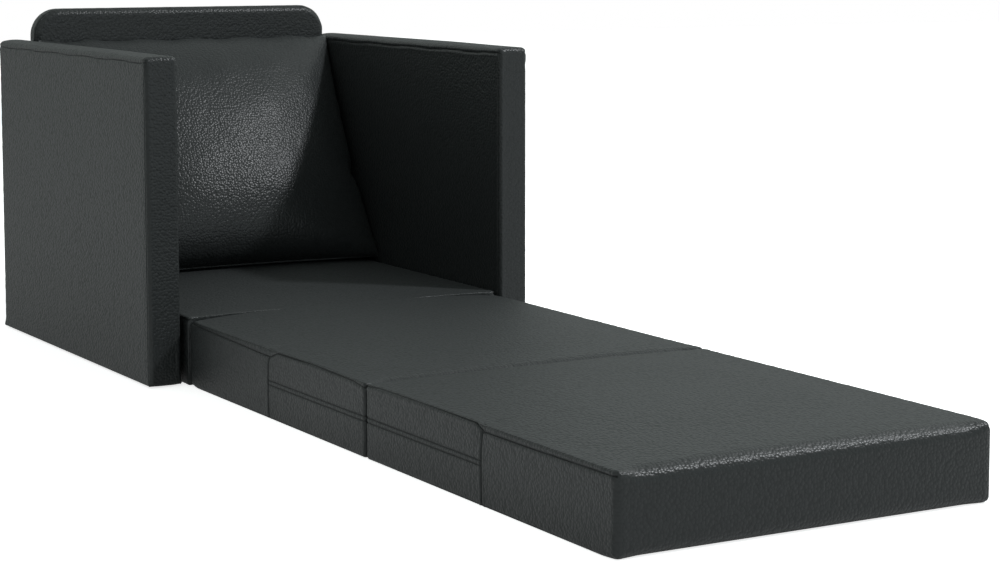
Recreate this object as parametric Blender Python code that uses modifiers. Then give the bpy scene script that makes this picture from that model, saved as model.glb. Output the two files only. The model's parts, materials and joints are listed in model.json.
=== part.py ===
"""Single sofa bed, opened out as a bed: two arms and a backrest round a fixed rear section, a middle
and a front section that fold up on top of it, and a loose back pillow.

Metres, +Z up, the bed's foot faces -Y, left and right are as seen from the foot.
The origin is on the floor, below the middle of the whole object.
"""

import math
from collections import namedtuple

import bmesh
import bpy
from mathutils import Matrix, Vector

# Clearances
FIT = 0.0003
CUT_OVERRUN = 0.020
SOFT_EASE = 0.003
FOLD_EASE = 0.0008
BEVEL_ANGLE = math.radians(30)
SHARP_ANGLE = math.radians(40)
ROUND_SHARE = 0.5

# Arms
OVERALL_WIDTH = 0.740
ARM_THICKNESS = 0.060
ARM_DEPTH = 0.761
ARM_EDGE_HEIGHT = 0.556
ARM_CROWN = 0.005
ARM_EDGE = 0.014
ARM_END_CROWN_SHARE = 0.4
ARM_FOAM = 0.012
ARM_TOP_FOAM = 0.022
GLIDE_HEIGHT = 0.003
GLIDE_RADIUS = 0.012
GLIDE_CHAMFER = 0.001
GLIDE_INSET = 0.070

# Timber and board inside the arms and the backrest
PANEL_THICKNESS = 0.005
POST_WIDTH = 0.048
RAIL_HEIGHT = 0.040
LINER_THICKNESS = 0.0012
TIMBER_EDGE = 0.0015

# Backrest
BACKREST_HEIGHT = 0.621
BACKREST_THICKNESS = 0.044
BACKREST_CORNER_RADIUS = 0.052
BACKREST_EDGE_RADIUS = 0.014
BACKREST_BOARD_THICKNESS = 0.018
BACKREST_BOARD_INSET = 0.012

# Covers and mattress sections
COVER_WALL = 0.002
SECTION_SIDE_PLAY = 0.010
SECTION_WIDTH = OVERALL_WIDTH - 2 * (ARM_THICKNESS + SECTION_SIDE_PLAY)
MIDDLE_LENGTH = 0.655
FRONT_LENGTH = 0.666
SECTION_HEIGHT = 0.109
SECTION_CROWN = 0.0155
REAR_HEIGHT = 0.1175
REAR_CROWN = 0.009
SECTION_EDGE = 0.012
SECTION_DRAW = 0.0015
FRONT_ROLL = 0.030
JOINT_ROLL = 0.020
SEAM_GAP = 0.004
REAR_OVERHANG = 0.002
REAR_BACK_GAP = 0.0006
REAR_BASE_THICKNESS = 0.024
REAR_BASE_INSET = 0.018
REAR_MOUTH_INSET = 0.030
FOAM_EDGE = 0.016

# Crown left at the front and the rear end of a section, as shares of the crown in its middle
REAR_CROWN_SHARES = (0.45, 1)
MIDDLE_CROWN_SHARES = (0.3, 0.8)
FRONT_CROWN_SHARES = (0.12, 0.3)

# Zips of the two folding sections, and their sliders
ZIP_WIDTH = 0.007
ZIP_REACH = 0.336
ZIP_HEIGHT = 0.058
SLIDER_LENGTH = 0.014
SLIDER_WIDTH = 0.009
SLIDER_THICKNESS = 0.0035
SLIDER_EDGE = 0.0012
PULLER_LENGTH = 0.026
PULLER_WIDTH = 0.006
PULLER_THICKNESS = 0.0016
PULLER_LAP = 0.003
SLIDER_PARK = 0.030

# Sewn hinge tapes in the two folds
TAPE_HEIGHT = 0.020
TAPE_END_INSET = 0.014

# Pillow
PILLOW_SIDE_PLAY = 0.003
PILLOW_WIDTH = OVERALL_WIDTH - 2 * (ARM_THICKNESS + PILLOW_SIDE_PLAY)
PILLOW_HEIGHT = 0.490
PILLOW_FRONT_BULGE = 0.088
PILLOW_REAR_BULGE = 0.098
PILLOW_SEAM_THICKNESS = 0.010
PILLOW_SIDE_DRAW = 0.014
PILLOW_END_DRAW = 0.004
PILLOW_LEAN = math.radians(28.6)
PILLOW_FOOT_REACH = 0.242
PILLOW_FOOT_LIFT = 0.0068
PILLOW_EASE = 0.0001
PILLOW_ZIP_LENGTH = 0.420
PILLOW_ZIP_DEPTH = 0.010
PILLOW_PINCH_DEPTH = 0.010
PILLOW_PINCH_REACH = 0.050
PILLOW_PINCH_SHARE = 0.02
PILLOW_FULLNESS = 0.62
PILLOW_SAG = 0.68

# Bolts that hold the arms to the backrest and to the rear section
BOLT_RADIUS = 0.003
BOLT_HEAD_RADIUS = 0.005
BOLT_HEAD_HEIGHT = 0.003
BACK_BOLT_BITE = 0.030
SEAT_BOLT_BITE = 0.035
BACK_BOLT_HEIGHTS = (0.140, 0.440)
SEAT_BOLT_FRONT_INSET = 0.110
SEAT_BOLT_REAR_INSET = 0.171
SPACER_RADIUS = 0.009
TURNED_STEPS = 12

# Places along the bed, from the sizes above
OVERALL_LENGTH = ARM_DEPTH + REAR_OVERHANG + 2 * SEAM_GAP + MIDDLE_LENGTH + FRONT_LENGTH
ARM_BACK = OVERALL_LENGTH / 2
ARM_FRONT = ARM_BACK - ARM_DEPTH
BACKREST_FRONT = ARM_BACK - BACKREST_THICKNESS
REAR_FRONT = ARM_FRONT - REAR_OVERHANG
REAR_REAR = BACKREST_FRONT - REAR_BACK_GAP
MIDDLE_REAR = REAR_FRONT - SEAM_GAP
MIDDLE_FRONT = MIDDLE_REAR - MIDDLE_LENGTH
FRONT_REAR = MIDDLE_FRONT - SEAM_GAP
FRONT_FRONT = FRONT_REAR - FRONT_LENGTH
ARM_INNER = OVERALL_WIDTH / 2 - ARM_THICKNESS
FOLD_TOP = (SECTION_HEIGHT + SECTION_CROWN + REAR_HEIGHT + REAR_CROWN) / 2 + FOLD_EASE
MIDDLE_FOLD = Vector((0, REAR_FRONT - SEAM_GAP / 2, FOLD_TOP))
FRONT_FOLD = Vector((0, MIDDLE_FRONT - SEAM_GAP / 2, -FIT))
PILLOW_FOOT = Vector((0, BACKREST_FRONT - PILLOW_FOOT_REACH, REAR_HEIGHT + PILLOW_FOOT_LIFT))

# One mattress section: its ends, its size, its crown's shares and the radii of its top edges at its ends
Section = namedtuple("Section", "front rear height crown draw shares rolls")
REAR = Section(
    REAR_FRONT, REAR_REAR, REAR_HEIGHT, REAR_CROWN, 0, REAR_CROWN_SHARES, (SECTION_EDGE, SECTION_EDGE)
)
MIDDLE = Section(
    MIDDLE_FRONT,
    MIDDLE_REAR,
    SECTION_HEIGHT,
    SECTION_CROWN,
    SECTION_DRAW,
    MIDDLE_CROWN_SHARES,
    (JOINT_ROLL, SECTION_EDGE),
)
FRONT = Section(
    FRONT_FRONT,
    FRONT_REAR,
    SECTION_HEIGHT,
    SECTION_CROWN,
    SECTION_DRAW,
    FRONT_CROWN_SHARES,
    (FRONT_ROLL, SECTION_EDGE),
)


def cleared_scene():
    """Removes what the scene holds and returns the collections of the parts and of the cutters."""
    for old in list(bpy.data.objects):
        bpy.data.objects.remove(old, do_unlink=True)
    made = []
    for name in ("sofa_bed", "cutters"):
        collection = bpy.data.collections.new(name)
        bpy.context.scene.collection.children.link(collection)
        made.append(collection)
    return made


def material(name, colour, roughness, metallic=0.0):
    """A Principled material of one colour."""
    made = bpy.data.materials.new(name)
    made.use_nodes = True
    shader = made.node_tree.nodes["Principled BSDF"]
    shader.inputs["Base Color"].default_value = (*colour, 1.0)
    shader.inputs["Roughness"].default_value = roughness
    shader.inputs["Metallic"].default_value = metallic
    made.diffuse_color = (*colour, 1.0)
    return made


PARTS, CUTTERS = cleared_scene()
LEATHER = material("black_leather", (0.022, 0.023, 0.024), 0.42)
FOAM = material("foam", (0.72, 0.66, 0.46), 0.9)
PLYWOOD = material("plywood", (0.55, 0.40, 0.24), 0.7)
PINE = material("pine", (0.66, 0.49, 0.29), 0.65)
LINING = material("black_lining", (0.02, 0.02, 0.02), 0.95)
PLASTIC = material("black_plastic", (0.03, 0.03, 0.03), 0.5)
STEEL = material("zinc_steel", (0.62, 0.63, 0.65), 0.35, 1.0)
ZIP_TAPE = material("zip_tape", (0.015, 0.015, 0.016), 0.8)
FILLING = material("pillow_filling", (0.85, 0.85, 0.83), 0.95)


def place_of(empty):
    """The world place of an empty made by empty_on."""
    return Vector(empty["place"]) if empty else Vector()


def empty_on(name, place, parent=None):
    """An empty on a joint's axis, which carries the pieces that turn or slide there."""
    empty = bpy.data.objects.new(name, None)
    empty.parent = parent
    empty.location = Vector(place) - place_of(parent)
    empty["place"] = Vector(place)
    PARTS.objects.link(empty)
    return empty


FRAME = empty_on("frame_place", Vector())
MIDDLE_AXIS = empty_on("middle_fold_axis", MIDDLE_FOLD, FRAME)
FRONT_AXIS = empty_on("front_fold_axis", FRONT_FOLD, MIDDLE_AXIS)
PILLOW_PLACE = empty_on("pillow_place", PILLOW_FOOT, FRONT_AXIS)


def object_of(name, bm, collection=PARTS):
    """A new object from a bmesh whose points are in world places."""
    mesh = bpy.data.meshes.new(name)
    bmesh.ops.recalc_face_normals(bm, faces=bm.faces[:])
    bm.to_mesh(mesh)
    bm.free()
    made = bpy.data.objects.new(name, mesh)
    collection.objects.link(made)
    return made


def finished(made, look, parent, origin=None):
    """Gives a part its material, its own origin and the empty that carries it."""
    made.data.materials.append(look)
    corners = [Vector(corner) for corner in made.bound_box]
    middle = sum(corners, Vector()) / len(corners)
    origin = Vector(origin) if origin else middle
    made.data.transform(Matrix.Translation(-origin))
    made.parent = parent
    made.location = origin - place_of(parent)
    made.data.shade_smooth()
    made.data.set_sharp_from_angle(angle=SHARP_ANGLE)
    return made


def box_bmesh(low, high):
    """A box between two corners, from the cube primitive."""
    low, high = Vector(low), Vector(high)
    size = high - low
    bm = bmesh.new()
    stretch = Matrix.Translation((low + high) / 2) @ Matrix.Diagonal((*size, 1))
    bmesh.ops.create_cube(bm, size=1, matrix=stretch)
    return bm


def cutter_box(name, low, high):
    """A hidden box that Booleans cut with or keep the inside of."""
    return hidden(object_of(name, box_bmesh(low, high), CUTTERS))


def hidden(made):
    """Marks an object as a cutter."""
    made.hide_render = True
    made.display_type = "WIRE"
    return made


def boolean(made, other, operation):
    """A Boolean modifier with the exact solver."""
    modifier = made.modifiers.new(operation.lower(), "BOOLEAN")
    modifier.operation = operation
    modifier.object = other
    modifier.solver = "EXACT"
    return modifier


def subdivided(made):
    """One level of Subdivision Surface."""
    modifier = made.modifiers.new("smooth", "SUBSURF")
    modifier.levels = 1
    modifier.render_levels = 1
    return made


def walled(made):
    """Turns a surface into a cover: the cloth's thickness goes inwards."""
    modifier = made.modifiers.new("cloth", "SOLIDIFY")
    modifier.thickness = COVER_WALL
    modifier.offset = -1
    modifier.use_even_offset = True
    return made


def bevelled(made, radius, segments):
    """Rounds the edges that turn by more than 30 degrees."""
    modifier = made.modifiers.new("rounding", "BEVEL")
    modifier.width = radius
    modifier.segments = segments
    modifier.limit_method = "ANGLE"
    modifier.angle_limit = BEVEL_ANGLE
    return made


def rounded_block(bm, radius, segments, floor):
    """Rounds a closed block's sharp edges, apart from those round its floor."""
    sharp = [
        edge
        for edge in bm.edges
        if edge.calc_face_angle() > BEVEL_ANGLE and not all(same(v.co.z, floor) for v in edge.verts)
    ]
    bmesh.ops.bevel(bm, geom=sharp, offset=radius, segments=segments, profile=ROUND_SHARE, affect="EDGES")
    return bm


def without_floor(bm, floor):
    """Takes away the faces that lie on the floor plane of a block, which opens it below."""
    flat = [face for face in bm.faces if all(same(v.co.z, floor) for v in face.verts)]
    bmesh.ops.delete(bm, geom=flat, context="FACES")
    return bm


def cut_loops(bm, axis, places):
    """Cuts edge loops through a cage, square to one axis."""
    normal = Vector((0, 0, 0))
    normal[axis] = 1
    for place in places:
        everything = bm.verts[:] + bm.edges[:] + bm.faces[:]
        bmesh.ops.bisect_plane(bm, geom=everything, plane_co=normal * place, plane_no=normal)


def loops_between(low, high, edge, cells):
    """One loop near each end, at the distance edge, and the rest evenly between them."""
    inner = cells - 2
    first, last = low + edge, high - edge
    return [first + (last - first) * step / inner for step in range(inner + 1)]


def same(first, second):
    """Whether two places agree to within the fit."""
    return abs(first - second) < FIT


def section_rise(section, x, y):
    """How far a section's top stands above its edges: full in the middle, less at the two ends."""
    across = 2 * x / SECTION_WIDTH
    along = (2 * y - section.front - section.rear) / (section.rear - section.front)
    share = section.shares[0] if along < 0 else section.shares[1]
    return section.crown * (1 - across**4) * (1 - (1 - share) * along**2)


def section_cage(section, inset, bottom, edge, cells, rolls):
    """The cage of a section drawn in by inset: crowned top, sides drawn in between its corners."""
    half = SECTION_WIDTH / 2 - inset
    front, rear, top = section.front + inset, section.rear - inset, section.height - inset
    low, high = (-half, front, bottom), (half, rear, top)
    bm = box_bmesh(low, high)
    for axis, (start, end) in enumerate(zip(low, high)):
        cut_loops(bm, axis, loops_between(start, end, edge, cells[axis]))
    for vert in bm.verts:
        x, y, z = vert.co
        along = (2 * y - front - rear) / (rear - front)
        for end, inwards, roll in ((front, 1, rolls[0]), (rear, -1, rolls[1])):
            if same(z, top) and same(y, end + inwards * edge):
                vert.co.y = end + inwards * roll
            if same(y, end) and same(z, top - edge):
                vert.co.z = top - roll
        if same(z, top):
            vert.co.z += section_rise(section, x, y)
        if same(abs(x), half):
            vert.co.x -= math.copysign(section.draw * (1 - along**2), x)
    return bm


def section_surface(name, section):
    """A section's outer surface, before it has a wall."""
    cage = section_cage(section, 0, 0, SECTION_EDGE, (5, 5, 3), section.rolls)
    return subdivided(object_of(name, cage))


def section_foam(name, section, bottom, parent):
    """The foam core, a little smaller than the cover's inside, lying on what is below it."""
    inset = COVER_WALL + SOFT_EASE
    cage = section_cage(section, inset, bottom, FOAM_EDGE, (4, 4, 3), (FOAM_EDGE, FOAM_EDGE))
    return finished(subdivided(object_of(name, cage)), FOAM, parent)


def zip_boxes(name, end, inwards):
    """The slot's cutter and the box of the zip itself, round one end of a section."""
    reach = end + inwards * ZIP_REACH
    outside = end - inwards * CUT_OVERRUN
    half_width = SECTION_WIDTH / 2 + CUT_OVERRUN
    boxes = []
    for kind, ease in (("slot", FIT), ("band", 0)):
        inner = reach + inwards * ease
        tall = ZIP_WIDTH / 2 + ease
        low = (-half_width, min(inner, outside), ZIP_HEIGHT - tall)
        high = (half_width, max(inner, outside), ZIP_HEIGHT + tall)
        boxes.append(cutter_box(f"{name}_{kind}_cutter", low, high))
    return boxes


def folding_section(name, section, zip_end, zip_inwards, parent):
    """Cover, foam and zip of a section that folds."""
    slot, band = zip_boxes(name, zip_end, zip_inwards)
    cover = walled(section_surface(f"{name}_cover", section))
    boolean(cover, slot, "DIFFERENCE")
    finished(cover, LEATHER, parent)
    tape = walled(section_surface(f"{name}_zip", section))
    boolean(tape, band, "INTERSECT")
    finished(tape, ZIP_TAPE, parent)
    section_foam(f"{name}_foam", section, COVER_WALL + 2 * FIT, parent)


def zip_slider(name, end, inwards, parent):
    """A slider with its pull tab hanging from it, on the zip's straight run along the right side."""
    middle = end + inwards * SLIDER_PARK
    near = SECTION_WIDTH / 2 + FIT
    outer = near + SLIDER_THICKNESS
    half = SLIDER_LENGTH / 2
    low = (near, middle - half, ZIP_HEIGHT - SLIDER_WIDTH / 2)
    high = (outer, middle + half, ZIP_HEIGHT + SLIDER_WIDTH / 2)
    body = bevelled(object_of(name, box_bmesh(low, high)), SLIDER_EDGE, 2)
    tab_low = (outer - PULLER_THICKNESS, middle - PULLER_WIDTH / 2, low[2] + PULLER_LAP - PULLER_LENGTH)
    tab_high = (outer + PULLER_THICKNESS / 2, middle + PULLER_WIDTH / 2, low[2] + PULLER_LAP)
    tab = hidden(object_of(f"{name}_tab", box_bmesh(tab_low, tab_high), CUTTERS))
    boolean(body, tab, "UNION")
    place = (near, middle, ZIP_HEIGHT)
    track = empty_on(f"{name}_track", place, parent)
    return finished(body, STEEL, track, place)


def hinge_tape(name, face, top, parent):
    """The sewn tape of a fold, in the gap behind the rear face of the section that carries it."""
    half = SECTION_WIDTH / 2 - TAPE_END_INSET
    low = (-half, face + FIT, top - TAPE_HEIGHT)
    high = (half, face + SEAM_GAP - FIT, top)
    return finished(object_of(name, box_bmesh(low, high)), LEATHER, parent)


def rear_section():
    """The fixed section between the arms: a cover stapled under a base board, lined below."""
    cover = walled(section_surface("rear_section_cover", REAR))
    half_mouth = SECTION_WIDTH / 2 - REAR_MOUTH_INSET
    low = (-half_mouth, REAR_FRONT + REAR_MOUTH_INSET, -CUT_OVERRUN)
    high = (half_mouth, REAR_REAR - REAR_MOUTH_INSET, COVER_WALL + FIT)
    boolean(cover, cutter_box("rear_section_mouth_cutter", low, high), "DIFFERENCE")
    finished(cover, LEATHER, FRAME)
    ease = Vector((FIT, FIT, 0))
    liner_low = Vector((low[0], low[1], 0)) + ease
    liner_high = Vector((high[0], high[1], COVER_WALL)) - ease
    liner = object_of("rear_section_liner", box_bmesh(liner_low, liner_high))
    finished(liner, LINING, FRAME)
    half = SECTION_WIDTH / 2 - REAR_BASE_INSET
    board_bottom = COVER_WALL + 2 * FIT
    board_low = (-half, REAR_FRONT + REAR_BASE_INSET, board_bottom)
    board_high = (half, REAR_REAR - REAR_BASE_INSET, board_bottom + REAR_BASE_THICKNESS)
    board = bevelled(object_of("rear_section_base_board", box_bmesh(board_low, board_high)), TIMBER_EDGE, 1)
    finished(board, PLYWOOD, FRAME)
    section_foam("rear_section_foam", REAR, board_high[2] + FIT, FRAME)
    return cover, board


def arm_corners(side, inset, bottom):
    """The corners of an arm's box, drawn in by inset."""
    outer = side * (OVERALL_WIDTH / 2 - inset)
    inner = side * (ARM_INNER + inset)
    low = (min(outer, inner), ARM_FRONT + inset, bottom)
    high = (max(outer, inner), ARM_BACK - inset, ARM_EDGE_HEIGHT - inset)
    return low, high


def arm_cage(side, bottom):
    """The cage of an arm's surface, open below: crowned along its top and less so at its ends."""
    low, high = arm_corners(side, 0, bottom)
    bm = box_bmesh(low, high)
    for axis in (0, 1):
        cut_loops(bm, axis, loops_between(low[axis], high[axis], ARM_EDGE, 4))
    cut_loops(bm, 2, (high[2] - ARM_EDGE, (low[2] + high[2]) / 2))
    middle = (low[0] + high[0]) / 2
    for vert in bm.verts:
        if not same(vert.co.z, high[2]):
            continue
        across = 2 * (vert.co.x - middle) / ARM_THICKNESS
        at_end = same(vert.co.y, low[1]) or same(vert.co.y, high[1])
        share = ARM_END_CROWN_SHARE if at_end else 1
        vert.co.z += ARM_CROWN * share * (1 - across**2)
    return without_floor(bm, bottom)


def timber(name, low, high, look=PINE):
    """A straight length of timber or board with its arrises taken off."""
    made = bevelled(object_of(name, box_bmesh(low, high)), TIMBER_EDGE, 1)
    return finished(made, look, FRAME)


def arm(side, name):
    """One arm: cover, foam jacket, ladder frame between two panels, liner and glides."""
    middle = side * (OVERALL_WIDTH / 2 - ARM_THICKNESS / 2)
    cover = walled(subdivided(object_of(f"{name}_cover", arm_cage(side, GLIDE_HEIGHT))))
    finished(cover, LEATHER, FRAME)
    inside = COVER_WALL + FIT
    floor = GLIDE_HEIGHT + FIT + LINER_THICKNESS + FIT
    block = box_bmesh(*arm_corners(side, inside + 2 * FIT, floor))
    foam = object_of(f"{name}_foam", rounded_block(block, ARM_EDGE - inside, 2, floor))
    core_half = ARM_THICKNESS / 2 - inside - FIT - ARM_FOAM
    core_front = ARM_FRONT + inside + FIT + ARM_FOAM
    core_back = ARM_BACK - inside - FIT - ARM_FOAM
    core_top = ARM_EDGE_HEIGHT - inside - ARM_TOP_FOAM
    hollow_low = (middle - core_half - FIT, core_front - FIT, -CUT_OVERRUN)
    hollow_high = (middle + core_half + FIT, core_back + FIT, core_top + FIT)
    boolean(foam, cutter_box(f"{name}_foam_cutter", hollow_low, hollow_high), "DIFFERENCE")
    finished(foam, FOAM, FRAME)
    panels = {}
    for label, sign in (("inner_panel", -side), ("outer_panel", side)):
        face = middle + sign * core_half
        back = face - sign * PANEL_THICKNESS
        low = (min(face, back), core_front, floor)
        high = (max(face, back), core_back, core_top)
        panels[label] = timber(f"{name}_{label}", low, high, PLYWOOD)
    rail_half = core_half - PANEL_THICKNESS - FIT
    left, right = middle - rail_half, middle + rail_half
    front_post_end = core_front + POST_WIDTH
    rear_post_start = core_back - POST_WIDTH
    timber(f"{name}_front_post", (left, core_front, floor), (right, front_post_end, core_top))
    rear_post = timber(f"{name}_rear_post", (left, rear_post_start, floor), (right, core_back, core_top))
    span = (front_post_end + FIT, rear_post_start - FIT)
    bottom_rail = timber(f"{name}_bottom_rail", (left, span[0], floor), (right, span[1], floor + RAIL_HEIGHT))
    timber(f"{name}_top_rail", (left, span[0], core_top - RAIL_HEIGHT), (right, span[1], core_top))
    liner_half = ARM_THICKNESS / 2 - inside
    liner_low = (middle - liner_half, ARM_FRONT + inside, GLIDE_HEIGHT + FIT)
    liner_high = (middle + liner_half, ARM_BACK - inside, GLIDE_HEIGHT + FIT + LINER_THICKNESS)
    liner = bevelled_corners(f"{name}_liner", liner_low, liner_high, ARM_EDGE)
    finished(liner, LINING, FRAME)
    for label, place in (("front", ARM_FRONT + GLIDE_INSET), ("rear", ARM_BACK - GLIDE_INSET)):
        glide(f"{name}_{label}_glide", (middle, place, 0))
    return {
        "cover": cover,
        "foam": foam,
        "inner_panel": panels["inner_panel"],
        "outer_panel": panels["outer_panel"],
        "rear_post": rear_post,
        "bottom_rail": bottom_rail,
        "rail_outer": middle + side * rail_half,
    }


def bevelled_corners(name, low, high, radius):
    """A sheet whose four upright corners are rounded."""
    bm = box_bmesh(low, high)
    upright = [edge for edge in bm.edges if not same(edge.verts[0].co.z, edge.verts[1].co.z)]
    bmesh.ops.bevel(bm, geom=upright, offset=radius, segments=3, profile=ROUND_SHARE, affect="EDGES")
    return object_of(name, bm)


def turned(name, points, collection=PARTS):
    """A turned shape: a profile of (radius, height) points with a Screw modifier."""
    bm = bmesh.new()
    verts = [bm.verts.new((radius, 0, height)) for radius, height in points]
    for first, second in zip(verts, verts[1:]):
        bm.edges.new((first, second))
    if points[0][0] > 0:
        bm.edges.new((verts[-1], verts[0]))
    mesh = bpy.data.meshes.new(name)
    bm.to_mesh(mesh)
    bm.free()
    made = bpy.data.objects.new(name, mesh)
    collection.objects.link(made)
    modifier = made.modifiers.new("turning", "SCREW")
    modifier.steps = TURNED_STEPS
    modifier.render_steps = TURNED_STEPS
    modifier.use_merge_vertices = True
    modifier.merge_threshold = 0.0001
    return made


def placed_turned(made, look, place, turn):
    """Gives a turned part its material, place and direction."""
    if look:
        made.data.materials.append(look)
    made.parent = FRAME
    made.location = place
    made.rotation_euler = (0, turn, 0)
    return made


def glide(name, place):
    """A low plastic glide under an arm."""
    points = (
        (0, GLIDE_HEIGHT),
        (GLIDE_RADIUS, GLIDE_HEIGHT),
        (GLIDE_RADIUS, GLIDE_CHAMFER),
        (GLIDE_RADIUS - GLIDE_CHAMFER, 0),
        (0, 0),
    )
    return placed_turned(turned(name, points), PLASTIC, place, 0)


def bolt(name, side, seat, length, targets):
    """A bolt from an arm towards the middle, with its clearance hole through each of targets.

    seat is the middle of its head's underside, and length is from there to its tip. The head's pocket
    starts in the gap below the piece that holds it, so that it opens there.
    """
    turn = side * math.pi / 2
    shapes = (("", 0, PARTS, STEEL), ("_cutter", FIT, CUTTERS, None))
    for suffix, ease, collection, look in shapes:
        under = ease + ease / 2
        points = (
            (0, BOLT_HEAD_HEIGHT + ease),
            (BOLT_HEAD_RADIUS + ease, BOLT_HEAD_HEIGHT + ease),
            (BOLT_HEAD_RADIUS + ease, -under),
            (BOLT_RADIUS + ease, -under),
            (BOLT_RADIUS + ease, -length - ease),
            (0, -length - ease),
        )
        made = placed_turned(turned(name + suffix, points, collection), look, seat, turn)
    hidden(made)
    for target in targets:
        boolean(target, made, "DIFFERENCE")


def spacer(name, side, place, targets_gap):
    """A ring on a seat bolt that fills the gap between an arm and the rear section."""
    inner = BOLT_RADIUS + FIT
    length = targets_gap - 2 * FIT
    points = ((SPACER_RADIUS, length), (SPACER_RADIUS, 0), (inner, 0), (inner, length))
    return placed_turned(turned(name, points), PLASTIC, place, side * math.pi / 2)


def backrest_outline(inset, bottom):
    """The backrest seen from the front: a panel with two round upper corners, as one face."""
    half = ARM_INNER - FIT - inset
    bm = bmesh.new()
    bmesh.ops.create_grid(bm, x_segments=1, y_segments=1, size=1)
    for vert in bm.verts:
        x = half if vert.co.x > 0 else -half
        z = BACKREST_HEIGHT - inset if vert.co.y > 0 else bottom
        vert.co = (x, BACKREST_FRONT + inset, z)
    upper = [vert for vert in bm.verts if not same(vert.co.z, bottom)]
    radius = BACKREST_CORNER_RADIUS - inset
    bmesh.ops.bevel(
        bm, geom=upper, offset=radius, offset_type="OFFSET", segments=5, profile=ROUND_SHARE, affect="VERTICES"
    )
    return bm


def backrest_block(inset, bottom):
    """The outline given its thickness."""
    bm = backrest_outline(inset, bottom)
    face = bmesh.ops.extrude_face_region(bm, geom=bm.faces[:])
    moved = [item for item in face["geom"] if isinstance(item, bmesh.types.BMVert)]
    bmesh.ops.translate(bm, verts=moved, vec=(0, BACKREST_THICKNESS - 2 * inset, 0))
    return bm


def backrest():
    """The backrest: a board in foam, in a cover that is closed below by a liner."""
    block = rounded_block(backrest_block(0, GLIDE_HEIGHT), BACKREST_EDGE_RADIUS, 3, GLIDE_HEIGHT)
    cover = walled(object_of("backrest_cover", without_floor(block, GLIDE_HEIGHT)))
    finished(cover, LEATHER, FRAME)
    inside = COVER_WALL + 2 * FIT
    floor = GLIDE_HEIGHT + FIT + LINER_THICKNESS + FIT
    block = rounded_block(backrest_block(inside, floor), BACKREST_EDGE_RADIUS - inside, 3, floor)
    foam = object_of("backrest_foam", block)
    middle = BACKREST_FRONT + BACKREST_THICKNESS / 2
    half_board = BACKREST_BOARD_THICKNESS / 2
    half_width = ARM_INNER - FIT - inside - BACKREST_BOARD_INSET
    top = BACKREST_HEIGHT - BACKREST_CORNER_RADIUS
    hollow_low = (-half_width - FIT, middle - half_board - FIT, -CUT_OVERRUN)
    hollow_high = (half_width + FIT, middle + half_board + FIT, top + FIT)
    boolean(foam, cutter_box("backrest_foam_cutter", hollow_low, hollow_high), "DIFFERENCE")
    finished(foam, FOAM, FRAME)
    board = timber(
        "backrest_board", (-half_width, middle - half_board, floor), (half_width, middle + half_board, top), PLYWOOD
    )
    liner_half = ARM_INNER - FIT - COVER_WALL - FIT
    liner_ease = COVER_WALL + FIT
    liner_low = (-liner_half, BACKREST_FRONT + liner_ease, GLIDE_HEIGHT + FIT)
    liner_high = (liner_half, ARM_BACK - liner_ease, GLIDE_HEIGHT + FIT + LINER_THICKNESS)
    liner = bevelled_corners("backrest_liner", liner_low, liner_high, BACKREST_EDGE_RADIUS)
    finished(liner, LINING, FRAME)
    return cover, foam, board, half_width


def pillow_point(x, rise, depth):
    """World place of a point of the pillow: across, up along its lean, and out of its front."""
    up = Vector((0, math.sin(PILLOW_LEAN), math.cos(PILLOW_LEAN)))
    out = Vector((0, -math.cos(PILLOW_LEAN), math.sin(PILLOW_LEAN)))
    return PILLOW_FOOT + Vector((x, 0, 0)) + up * rise + out * depth


def pillow_cage():
    """The pillow: full below its middle, thin at its seam, drawn in between its corners, with one pinch.

    It lies flat where it leans on the backrest and where it stands on the rear section.
    """
    bm = box_bmesh((-1, -1, -1), (1, 1, 1))
    for axis, cells in ((0, 7), (2, 6)):
        cut_loops(bm, axis, [2 * step / cells - 1 for step in range(1, cells)])
    for vert in bm.verts:
        across, side, up = vert.co
        spread = math.sin(across * math.pi / 2)
        climb = math.sin(up * math.pi / 2)
        height = ((1 + climb) / 2) ** PILLOW_SAG
        full = ((1 - spread**2) * 4 * height * (1 - height)) ** (PILLOW_FULLNESS / 2)
        bulge = PILLOW_FRONT_BULGE if side < 0 else PILLOW_REAR_BULGE
        depth = -side * (PILLOW_SEAM_THICKNESS / 2 + bulge * full)
        x = spread * (PILLOW_WIDTH / 2 - PILLOW_SIDE_DRAW * (1 - climb**2))
        half_height = PILLOW_HEIGHT / 2 - PILLOW_END_DRAW * (1 - spread**2)
        if same(across, 1):
            distance = (climb - PILLOW_PINCH_SHARE) * PILLOW_HEIGHT / 2
            x -= PILLOW_PINCH_DEPTH * math.exp(-((distance / PILLOW_PINCH_REACH) ** 2))
        place = pillow_point(x, PILLOW_HEIGHT / 2 + climb * half_height, depth)
        place.y = min(place.y, BACKREST_FRONT - PILLOW_EASE)
        place.z = max(place.z, REAR_HEIGHT + REAR_CROWN + PILLOW_EASE)
        vert.co = place
    return bm


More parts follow.
